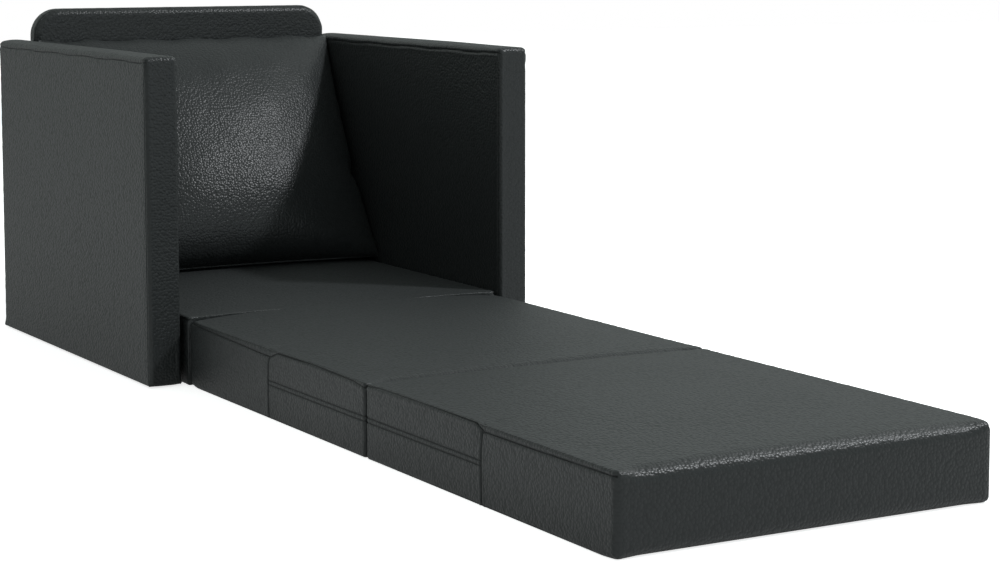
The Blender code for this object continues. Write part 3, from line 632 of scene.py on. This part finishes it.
# %% [markdown]
# ## The mattress sections
# The rear section is the seat, fixed between the arms. The middle and the front one fold up on it. Each
# cover is a top panel that runs over the front and back, and two side panels. On the two folding
# sections a side panel is made of two parts: round one end of the section it is split along its middle
# by a hidden zip, and the rest is plain. Where the two parts meet, an upright seam pulls the top seam
# down by up to a centimetre. The tops are crowned by the foam, and the rolls differ: the front edge of
# the bed is drawn down over 4 cm, the middle section rolls softly into the fold, and the other edges are
# tight.

# %% Rolls of a section
SIDE_RADIUS = 0.0055


def ends(along, low, high, width):
    """How far a place belongs to the front and to the rear end, fading over width."""
    return 1 - ramp(along, low, low + width), ramp(along, high - width, high)


def section_radii(points, low, high, rolls, uprights):
    """Each point's three roll radii: rolls and uprights say them at the ends, and the sides are tight.

    rolls gives (depth, height) of the roll at the front top, the rear top, the front bottom and the rear
    bottom. uprights are the radii of the front and the rear upright edges.
    """
    level = ramp(points[:, 2], low[2] + 0.03, high[2] - 0.03)[:, None]
    away_from_side = ramp(high[0] - np.abs(points[:, 0]), 0.002, 0.045)
    front_end, rear_end = ends(points[:, 1:2], low[1], high[1], 0.07)
    front_top, rear_top, front_foot, rear_foot = (np.array(roll) for roll in rolls)
    front = front_foot + (front_top - front_foot) * level
    rear = rear_foot + (rear_top - rear_foot) * level
    plain = np.array([0.012, SIDE_RADIUS]) * (1 - front_end - rear_end)
    depth, height = (front * front_end + rear * rear_end + plain).T
    close_front, close_rear = ends(points[:, 1], low[1], high[1], 0.035)
    front_more, rear_more = uprights[0] - SIDE_RADIUS, uprights[1] - SIDE_RADIUS
    upright = SIDE_RADIUS + front_more * close_front + rear_more * close_rear
    at_side = 1 - away_from_side
    depth = depth * away_from_side + np.maximum(upright, 0.008) * at_side
    height = height * away_from_side + (SIDE_RADIUS + 0.7 * (upright - SIDE_RADIUS)) * at_side
    return np.stack([upright, depth, height], -1)


print("the side edges of a section roll with", SIDE_RADIUS * 1000, "mm")

# %% One section


def section_block(low, high, side_rise, crown, shares, rolls, uprights, z_spans, y_spans):
    """A crowned block: it rises by crown * (1 - |across|^2.8) * (1 - (1 - share) * |along|^2.2).

    side_rise is how much higher than the side seams the top's edge lies. shares are the parts of the
    crown that are left at the front and the rear end.
    """
    low, high = np.array(low), np.array(high)
    high[2] += side_rise
    xs = eased(low[0], high[0], 76, 0.88)
    ys = with_fine(eased(low[1], high[1], 110, 0.9), *y_spans)
    zs = with_fine(eased(low[2], high[2], 26, 0.8), *z_spans)
    points, faces = block_grid(xs, ys, zs)
    shaped = rolled(points, low, high, section_radii(points, low, high, rolls, uprights), power=2.5)
    half = (high[0] - low[0]) / 2
    across = shaped[:, 0] / half
    along = (2 * shaped[:, 1] - low[1] - high[1]) / (high[1] - low[1])
    share = np.where(along < 0, shares[0], shares[1])
    top = ramp(shaped[:, 2], high[2] - 0.03, high[2] - 0.002)
    rise = crown * (1 - np.abs(across) ** 2.8) * (1 - (1 - share) * np.abs(along) ** 2.2)
    shaped[:, 2] += top * rise
    climb = np.clip((shaped[:, 2] - low[2]) / (high[2] - low[2]), 0, 1)
    on_side = np.isclose(np.abs(points[:, 0]), half)
    belly = 4 * climb * (1 - climb) * (1 - np.abs(along) ** 6)
    shaped[:, 0] += np.sign(across) * on_side * (0.0012 * belly - 0.0015 * (1 - along**2))
    on_end = np.isclose(np.abs(along), 1, atol=0.0005)
    shaped[:, 1] += np.sign(along) * on_end * 0.0014 * 4 * climb * (1 - climb) * (1 - across**6)
    inside = (1 - np.abs(across) ** 8) * (1 - np.abs(along) ** 8)
    shaped[:, 2] += top * inside * swell(shaped, 31, 0.24, 0.0005)
    return points, faces, shaped, across, along


front_low, front_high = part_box("front_section_cover")
middle_low, middle_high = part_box("middle_section_cover")
print("fold at y =", round((front_high.y + middle_low.y) / 2, 3))

# %% Seams and zip of a section
SIDE_SEAM_HEIGHT = 0.109
SEAM_FROM_FOLD = 0.3365
ZIP_LINE = 0.058
ZIP_HALF_WIDTH = 0.0035


def side_distance(shaped, half, height_at):
    """Distance from the seam that runs along a side at the height height_at(y)."""
    inwards = np.maximum(half - 0.004 - np.abs(shaped[:, 0]), 0)
    return np.hypot(shaped[:, 2] - height_at(shaped[:, 1]), inwards * 1.3)


def corner_distance(shaped, half, end, below):
    """Distance from the upright seam at a corner of a section, below the height below."""
    aside = np.hypot(np.abs(shaped[:, 0]) - half, shaped[:, 1] - end)
    return aside + FAR * (shaped[:, 2] > below)


def folding_cover(name, body, heights, crown, shares, rolls, uprights, zip_end, seam_at, corner_end, seed):
    """A folding section's cover, with its side seams, upright seams and hidden zip.

    heights is (places along y, heights there) of the side seam. zip_end is the end of the section that
    the zip runs round, seam_at is where the zip stops, and corner_end is the end with sewn corners.
    """
    low, high = (np.array(corner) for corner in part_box(f"{name}_cover"))
    half = high[0]
    high[2] = SIDE_SEAM_HEIGHT
    z_spans = (0.080, 0.1100, 0.001), (0.051, 0.065, 0.001)
    y_spans = (seam_at - 0.042, seam_at + 0.042, 0.002), (seam_at - 0.008, seam_at + 0.008, 0.001)
    built = section_block(low, high, 0.0022, crown, shares, rolls, uprights, z_spans, y_spans)
    _, faces, shaped, across, along = built
    places, levels = (np.array(column) for column in heights)

    def height_at(y):
        return np.interp(y, places, levels)

    side = side_distance(shaped, half, height_at)
    on_side = np.abs(shaped[:, 0]) > half - 0.006
    above = shaped[:, 2] > height_at(shaped[:, 1]) + 0.001
    upright = np.abs(shaped[:, 1] - seam_at) + FAR * (~on_side | above)
    corner = corner_distance(shaped, half, corner_end, height_at(corner_end))
    zipped = (shaped[:, 1] - seam_at) * np.sign(zip_end - seam_at) > 0
    has_zip = zipped & (on_side | (np.abs(along) > 0.97))
    lips = np.abs(np.abs(shaped[:, 2] - ZIP_LINE) - ZIP_HALF_WIDTH) + FAR * ~has_zip
    distance = np.minimum.reduce([side, upright, corner])
    run = np.where(side < upright, shaped[:, 1], shaped[:, 2]) + 0.3 * np.sign(across)
    shaped = sewn(shaped, faces, distance, run, seed, valley=0.0012, pucker=0.0003, reach=0.009)
    shaped = sewn(shaped, faces, lips, run, seed + 1, valley=0.0009, pucker=0.0001)
    pull = np.hypot(shaped[:, 1] - seam_at, shaped[:, 2] - 0.105) / 0.016
    shaped[:, 0] -= np.sign(across) * on_side * 0.0022 * np.exp(-(pull**2))
    dip = 0.0016 * np.exp(-(((shaped[:, 1] - seam_at) / 0.014) ** 2))
    shaped[:, 2] -= (across < -0.9) * (shaped[:, 2] > 0.1) * dip
    shaped[:, 2] = np.maximum(shaped[:, 2], low[2])
    made = mesh_object(f"{name}_upholstery", shaped, faces, LEATHER, np.minimum(distance, lips))
    return soft_piece(made, body, f"{name}_cover", f"{name}_zip")


print("each zip ends", SEAM_FROM_FOLD, "m from the fold, and lies", ZIP_LINE, "m up")

# %% Front and middle section
front_seam = front_high.y - SEAM_FROM_FOLD
front_cover = folding_cover(
    "front_section",
    "front_section",
    (
        (front_low.y, -0.83, front_seam - 0.006, front_seam + 0.016, -0.55, -0.42, front_high.y),
        (0.1045, 0.1020, 0.1020, 0.1105, 0.1115, 0.1105, 0.108),
    ),
    crown=0.0095,
    shares=(0.10, 0.32),
    rolls=((0.040, 0.020), (0.010, 0.007), (0.020, 0.016), (0.008, 0.007)),
    uprights=(0.013, 0.005),
    zip_end=front_high.y,
    seam_at=front_seam,
    corner_end=front_low.y,
    seed=41,
)
middle_seam = middle_low.y + SEAM_FROM_FOLD
middle_cover = folding_cover(
    "middle_section",
    "middle_section",
    (
        (middle_low.y, -0.34, -0.20, middle_seam - 0.034, middle_seam - 0.002, 0.15, middle_high.y),
        (0.1040, 0.1085, 0.1110, 0.1090, 0.0990, 0.1045, 0.1085),
    ),
    crown=0.0105,
    shares=(0.30, 0.92),
    rolls=((0.030, 0.020), (0.010, 0.006), (0.008, 0.007), (0.018, 0.016)),
    uprights=(0.005, 0.014),
    zip_end=middle_low.y,
    seam_at=middle_seam,
    corner_end=middle_high.y,
    seed=51,
)
for made in (front_cover, middle_cover):
    print(made.name, len(made.data.polygons), "faces")

# %% [markdown]
# ## The piping
# The seat's two front corners are piped, and so is the whole edge of the pillow. A piping is a thin cord
# in a strip of film, sewn into a seam. Here it is a small circle that is carried along the seam's own
# path. A cord with a Bevel would do as well, but this one shares its path with the seam beside it.

# %% Piping


def tube(name, path, radius, material, sides=8):
    """A round cord, pointed at its ends: path + radius * (cos a * across + sin a * up)."""
    along = np.gradient(path, axis=0)
    along /= np.linalg.norm(along, axis=1, keepdims=True)
    helper = np.array([1.0, 0, 0]) if abs(along[:, 0]).max() < 0.9 else np.array([0, 0, 1.0])
    across = np.cross(along, helper)
    across /= np.linalg.norm(across, axis=1, keepdims=True)
    up = np.cross(across, along)
    angle = np.linspace(0, 2 * np.pi, sides, endpoint=False)
    ring = np.cos(angle)[None, :, None] * across[:, None] + np.sin(angle)[None, :, None] * up[:, None]
    scale = np.full(len(path), radius)
    scale[0] = scale[-1] = radius * 0.05
    points = (path[:, None] + ring * scale[:, None, None]).reshape(-1, 3)
    row, column = np.meshgrid(np.arange(len(path) - 1) * sides, np.arange(sides), indexing="ij")
    after = (column + 1) % sides
    corners = (row + column, row + after, row + sides + after, row + sides + column)
    faces = np.stack(corners, -1).reshape(-1, 4)
    return mesh_object(name, points, faces, material)


girth = 8 * math.sin(math.pi / 8) / math.pi
print("a piping of 8 sides has", round(girth * 100, 1), "% of a round one's girth")

# %% [markdown]
# ## The seat
# The rear section keeps its place, so its cover is open below and stapled round a lining. It is the same
# crowned block, with tight edges, no zip, and a hollow for the lining.

# %% Rear section


def rear_cover():
    """The seat's cover: crowned, sewn at its front corners, and hollow below for its lining."""
    low, high = (np.array(corner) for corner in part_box("rear_section_cover"))
    low[2] = 0.0
    high[2] = 0.1165
    seam_height, corner_height = 0.1125, 0.11
    half = high[0]
    rolls = ((0.004, 0.003), (0.010, 0.010), (0.006, 0.006), (0.006, 0.006))
    z_spans = ((0.102, 0.1175, 0.001),)
    built = section_block(low, high, 0.0012, 0.0075, (0.25, 0.95), rolls, (0.005, 0.005), z_spans, ())
    points, faces, shaped, *_ = built
    distance = side_distance(shaped, half, lambda y: np.full_like(y, seam_height))
    corner = corner_distance(shaped, half, low[1], corner_height)
    distance = np.minimum(distance, corner)
    shaped = sewn(shaped, faces, distance, shaped[:, 1], 61, valley=0.0012, pucker=0.0005)
    mouth_low, mouth_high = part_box("rear_section_liner")
    in_mouth = np.isclose(points[:, 2], 0) & (np.abs(points[:, 0]) < mouth_high.x + 0.001)
    in_mouth &= (points[:, 1] > mouth_low.y - 0.001) & (points[:, 1] < mouth_high.y + 0.001)
    shaped[:, 2] = np.maximum(shaped[:, 2], 0)
    shaped[in_mouth, 2] = mouth_high.z + 0.0002
    made = mesh_object("rear_section_upholstery", shaped, faces, LEATHER, distance)
    return soft_piece(made, "frame", "rear_section_cover")


seat_cover = rear_cover()
seat_low, seat_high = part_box("rear_section_cover")
for side, label in ((-1, "left"), (1, "right")):
    height = np.linspace(0.006, 0.110, 30)
    edge = np.stack([np.full(30, side * (seat_high.x - 0.002)), np.full(30, seat_low.y + 0.002), height], -1)
    piping = tube(f"rear_section_{label}_piping", edge, 0.0024, LEATHER)
    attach(piping, "frame")
print(seat_cover.name, "top at", round(max(v.co.z for v in seat_cover.data.vertices), 4))

# %% [markdown]
# ## The pillow
# A pillow is two flat panels sewn together round their edge and stuffed. Nobody models its shape: it
# comes from the stuffing that pushes the panels out while the seam holds them. So the pillow starts a
# little flat, is remeshed to an even grid, and a cloth simulation with inside pressure blows it up, with
# the seam pinned. The wrinkles of so quick a simulation are smoothed out again, but its fullness stays.
# What the simulation can't know is put back: the pillow is pressed flat where it stands on the seat and
# leans on the backrest, short puckers run in from the seam, and one dimple sits at its right edge.

# %% Pillow form
PILLOW_FOOT = np.array([0, 0.760, 0.1265])
PILLOW_LEAN = math.radians(28.6)
PILLOW_ACROSS = np.array([1.0, 0, 0])
PILLOW_UP = np.array([0, math.sin(PILLOW_LEAN), math.cos(PILLOW_LEAN)])
PILLOW_OUT = np.array([0, -math.cos(PILLOW_LEAN), math.sin(PILLOW_LEAN)])
PILLOW_HALF, PILLOW_HEIGHT = 0.306, 0.490
PILLOW_REACH = 0.3085
PINCH_AT = -0.27
SEAT_TOP = 0.1262
BACKREST_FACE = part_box("backrest_cover")[0].y


def on_pillow(across, up, out=0.0):
    """The place across, up and out from the foot of the leaning pillow: foot + a A + u U + o O."""
    place = PILLOW_FOOT + np.multiply.outer(across, PILLOW_ACROSS) + np.multiply.outer(up, PILLOW_UP)
    return place + np.multiply.outer(out, PILLOW_OUT)


def pillow_outline(spread, climb):
    """Across and up of a pillow point, spread and climb being -1 to 1: sides drawn in between the corners.

    The top seam waves by 2 mm, and the right side has one pinch a little below its middle.
    """
    x = spread * (PILLOW_HALF - 0.013 * (1 - climb**2))
    pinch = 0.007 * np.exp(-(((climb - PINCH_AT) * PILLOW_HEIGHT / 2 / 0.016) ** 2))
    x = x - pinch * ramp(spread, 0.8, 1.0)
    wave = 0.0022 * np.sin(2 * np.pi * x / 0.105 + 1.1) * ramp(climb, 0.8, 1.0)
    up = PILLOW_HEIGHT / 2 * (1 + climb) - 0.004 * (1 - spread**2) * climb + wave
    return x, up


def pillow_form():
    """The unfilled pillow: a thin lens on the outline, fuller below its middle than above."""
    lines = np.linspace(-1, 1, 61), np.linspace(-1, 1, 3), np.linspace(-1, 1, 51)
    points, faces = block_grid(*lines)
    spread, climb = np.sin(points[:, 0] * np.pi / 2), np.sin(points[:, 2] * np.pi / 2)
    height = ((1 + climb) / 2) ** 0.68
    full = np.clip((1 - spread**2) * 4 * height * (1 - height), 0, 1) ** 0.34
    bulge = np.where(points[:, 1] < 0, 0.071, 0.066)
    depth = -points[:, 1] * (0.0055 + bulge * full)
    return on_pillow(*pillow_outline(spread, climb), depth), faces


def pillow_seam():
    """The seam round the pillow, as points at most 6 mm apart, and how far along it each one is."""
    run = np.linspace(-1, 1, 181)
    edge = np.sin(run * np.pi / 2)
    ones = np.ones_like(run)
    sides = [(edge, -ones), (ones, edge), (-edge, ones), (-ones, -edge)]
    spread, climb = (np.concatenate([side[way][:-1] for side in sides]) for way in (0, 1))
    path = on_pillow(*pillow_outline(spread, climb))
    steps = np.linalg.norm(np.roll(path, -1, axis=0) - path, axis=1)
    return path, np.concatenate([[0], np.cumsum(steps)[:-1]])


seam_path, seam_run = pillow_seam()
print("the pillow's seam is", round(float(seam_run[-1]), 2), "m long")

# %% Measuring the pillow


def nearest_on_seam(points):
    """For each point, its distance from the pillow's seam and how far along the seam that is."""
    distance = np.empty(len(points))
    place = np.empty(len(points), int)
    for start in range(0, len(points), 4000):
        some = slice(start, start + 4000)
        gaps = np.linalg.norm(points[some, None] - seam_path[None], axis=2)
        place[some], distance[some] = gaps.argmin(1), gaps.min(1)
    return distance, seam_run[place]


def positions_of(mesh):
    """The mesh's points as an array."""
    flat = np.empty(len(mesh.vertices) * 3, np.float32)
    mesh.vertices.foreach_get("co", flat)
    return flat.reshape(-1, 3).astype(float)


foot_gap = float(nearest_on_seam(PILLOW_FOOT[None])[0][0])
print("the pillow's foot is", round(foot_gap * 1000, 1), "mm from its seam")

# %% Blowing it up


def evened(made, cell):
    """The object remeshed to an even grid, with no modifier left on it."""
    modifier = made.modifiers.new("even", "REMESH")
    modifier.mode = "VOXEL"
    modifier.voxel_size = cell
    even = bpy.data.meshes.new_from_object(made.evaluated_get(bpy.context.evaluated_depsgraph_get()))
    made.modifiers.clear()
    made.data = even
    return made


def blown_up(made, pinned, pressure, cap):
    """Runs the cloth for 20 frames without gravity and lets no point go further than cap."""
    held = made.vertex_groups.new(name="seam")
    held.add([int(number) for number in np.flatnonzero(pinned)], 1.0, "REPLACE")
    cloth = made.modifiers.new("cloth", "CLOTH")
    cloth.settings.use_pressure = True
    cloth.settings.uniform_pressure_force = pressure
    cloth.settings.effector_weights.gravity = 0
    cloth.settings.vertex_group_mass = "seam"
    cloth.settings.quality = 4
    before = positions_of(made.data)
    for number in range(1, 21):
        bpy.context.scene.frame_set(number)
    result = made.evaluated_get(bpy.context.evaluated_depsgraph_get()).to_mesh()
    moved = positions_of(result) - before
    made.modifiers.clear()
    made.vertex_groups.clear()
    bpy.context.scene.frame_set(1)
    length = np.maximum(np.linalg.norm(moved, axis=1, keepdims=True), 1e-9)
    return before + moved * np.minimum(1, cap / length)


def relaxed(points, edges, rounds, keep):
    """Moves each point 0.6 * (1 - keep) of the way to the mean of its neighbours, so many times."""
    count = np.bincount(edges.ravel(), minlength=len(points))[:, None]
    share = 0.6 * (1 - keep[:, None])
    for _ in range(rounds):
        total = np.zeros_like(points)
        np.add.at(total, edges[:, 0], points[edges[:, 1]])
        np.add.at(total, edges[:, 1], points[edges[:, 0]])
        points = points + share * (total / count - points)
    return points


form, form_faces = pillow_form()
pillow = evened(mesh_object("pillow_upholstery", form, form_faces, LEATHER), cell=0.0055)
flat_points = positions_of(pillow.data)
sewn_down = nearest_on_seam(flat_points)[0] < 0.009
full_points = blown_up(pillow, sewn_down, pressure=4.0, cap=0.024)
pairs = np.array([edge.vertices[:] for edge in pillow.data.edges])
at_seam = 1 - ramp(nearest_on_seam(full_points)[0], 0.006, 0.03)
full_points = relaxed(full_points, pairs, rounds=40, keep=at_seam)
swelled = float(np.linalg.norm(full_points - flat_points, axis=1).max())
print("the pillow has", len(full_points), "points and swelled by", round(swelled * 1000), "mm")

# %% Pressing and puckering


def pressed(value, limit, soft):
    """Keeps value below limit with a soft knee: limit - soft * log(1 + exp((limit - value) / soft))."""
    return limit - soft * np.logaddexp(0, (limit - value) / soft)


def set_positions(mesh, points):
    """Moves the mesh's points to the places in the array."""
    mesh.vertices.foreach_set("co", points.astype(np.float32).ravel())
    mesh.update()


def pillow_details(mesh, points):
    """Rests the pillow on its neighbours and adds the puckers of its seam and the dimple."""
    points = points.copy()
    leaning = pressed(points[:, 1], BACKREST_FACE - 0.0006, soft=0.004)
    points[:, 1] = np.where(points[:, 1] > BACKREST_FACE - 0.03, leaning, points[:, 1])
    points[:, 2] = np.maximum(points[:, 2], SEAT_TOP)
    points[:, 0] = np.clip(points[:, 0], -PILLOW_REACH, PILLOW_REACH)
    set_positions(mesh, points)
    normals = np.empty(len(points) * 3, np.float32)
    mesh.vertex_normals.foreach_get("vector", normals)
    normals = normals.reshape(-1, 3)
    distance, run = nearest_on_seam(points)
    waves = np.sin(2 * np.pi * run / 0.031 + 2.2 * np.sin(2 * np.pi * run / 0.17))
    waves = waves * (0.55 + 0.45 * np.sin(2 * np.pi * run / 0.23 + 0.7))
    fine = np.sin(2 * np.pi * run / 0.013 + 1.3)
    puckers = 0.0014 * waves * np.exp(-distance / 0.022) + 0.0004 * fine * np.exp(-distance / 0.008)
    off_seat = ramp(points[:, 2], SEAT_TOP + 0.002, SEAT_TOP + 0.02)
    free = off_seat * (1 - ramp(points[:, 1], BACKREST_FACE - 0.02, BACKREST_FACE - 0.006))
    uneven = swell(points, 71, 0.11, 0.0012) * ramp(distance, 0.02, 0.08)
    amount = puckers * ramp(distance, 0.001, 0.006) + uneven
    x, up = pillow_outline(np.array([1.0]), np.array([PINCH_AT]))
    dimple = on_pillow(x[0] - 0.015, up[0], 0.012)
    amount = amount - 0.021 * np.exp(-((np.linalg.norm(points - dimple, axis=1) / 0.013) ** 2))
    points = points + normals * (amount * free)[:, None]
    points[:, 1] = np.minimum(points[:, 1], BACKREST_FACE - 0.0004)
    points[:, 2] = np.maximum(points[:, 2], SEAT_TOP)
    set_positions(mesh, points)
    sewn_line = np.clip((distance - 0.0030) * 1000, 0, UNSEWN)
    mesh.attributes.new("seam_mm", "FLOAT", "POINT").data.foreach_set("value", sewn_line.astype(np.float32))


pillow_details(pillow.data, full_points)
pillow.data.shade_smooth()
finer = pillow.modifiers.new("finer", "SUBSURF")
finer.levels = finer.render_levels = 1
soft_piece(pillow, "pillow", "pillow_cover", "pillow_filling", "pillow_zip", fill=0.85)
places = positions_of(pillow.data)
print("pillow from", np.round(places.min(0), 3), "to", np.round(places.max(0), 3))

# %% The pillow's piping
welt_path = np.vstack([seam_path, seam_path[:2]])
outwards = np.cross(np.gradient(welt_path, axis=0), PILLOW_OUT)
welt_path = welt_path - 0.0006 * outwards / np.linalg.norm(outwards, axis=1, keepdims=True)
welt_path[:, 0] = np.clip(welt_path[:, 0], -0.3068, 0.3068)
welt_path[:, 1] = np.minimum(welt_path[:, 1], BACKREST_FACE - 0.0032)
welt_path[:, 2] = np.maximum(welt_path[:, 2], SEAT_TOP + 0.0030)
welt = tube("pillow_piping", welt_path, 0.0028, PIPING_PAINTED_HIGHLIGHT)
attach(welt, "pillow")
print("the piping reaches", *np.round(welt_path.max(0), 4))

# %% [markdown]
# ## The floor
# A white sheet of paper, as in a studio. Lamps alone would leave it grey, and stronger ones would spoil
# the leather, so it glows a little, but only where the camera or a gloss looks at it. The glow is added
# to the lit paper, so the shadow under the bed stays.

# %% Floor


def floor_sheet(half):
    """One flat square of white paper."""
    points = np.array([[-half, -half, 0], [half, -half, 0], [half, half, 0], [-half, half, 0]], float)
    paper = Finish("white_paper")
    grain = paper.noise(paper.place(), 0.004)
    path = "ShaderNodeLightPath"
    seen = paper.add(path, output="Is Camera Ray") + paper.add(path, output="Is Glossy Ray")
    seen = (seen + paper.add(path, output="Is Transmission Ray")).held()
    glow = paper.blend(seen, (0, 0, 0, 1), (0.45, 0.45, 0.45, 1))
    glow = paper.blend(paper.add(path, output="Is Camera Ray"), glow, (0.76, 0.76, 0.76, 1))
    paper.surface(Base_Color=(0.90, 0.90, 0.90, 1), Roughness=0.85 + grain * 0.1)
    paper.surface(Emission_Color=glow, Emission_Strength=1.0)
    sheet = mesh_object("floor", points, np.array([[0, 1, 2, 3]]), paper.material)
    return sheet


print(floor_sheet(14).name)
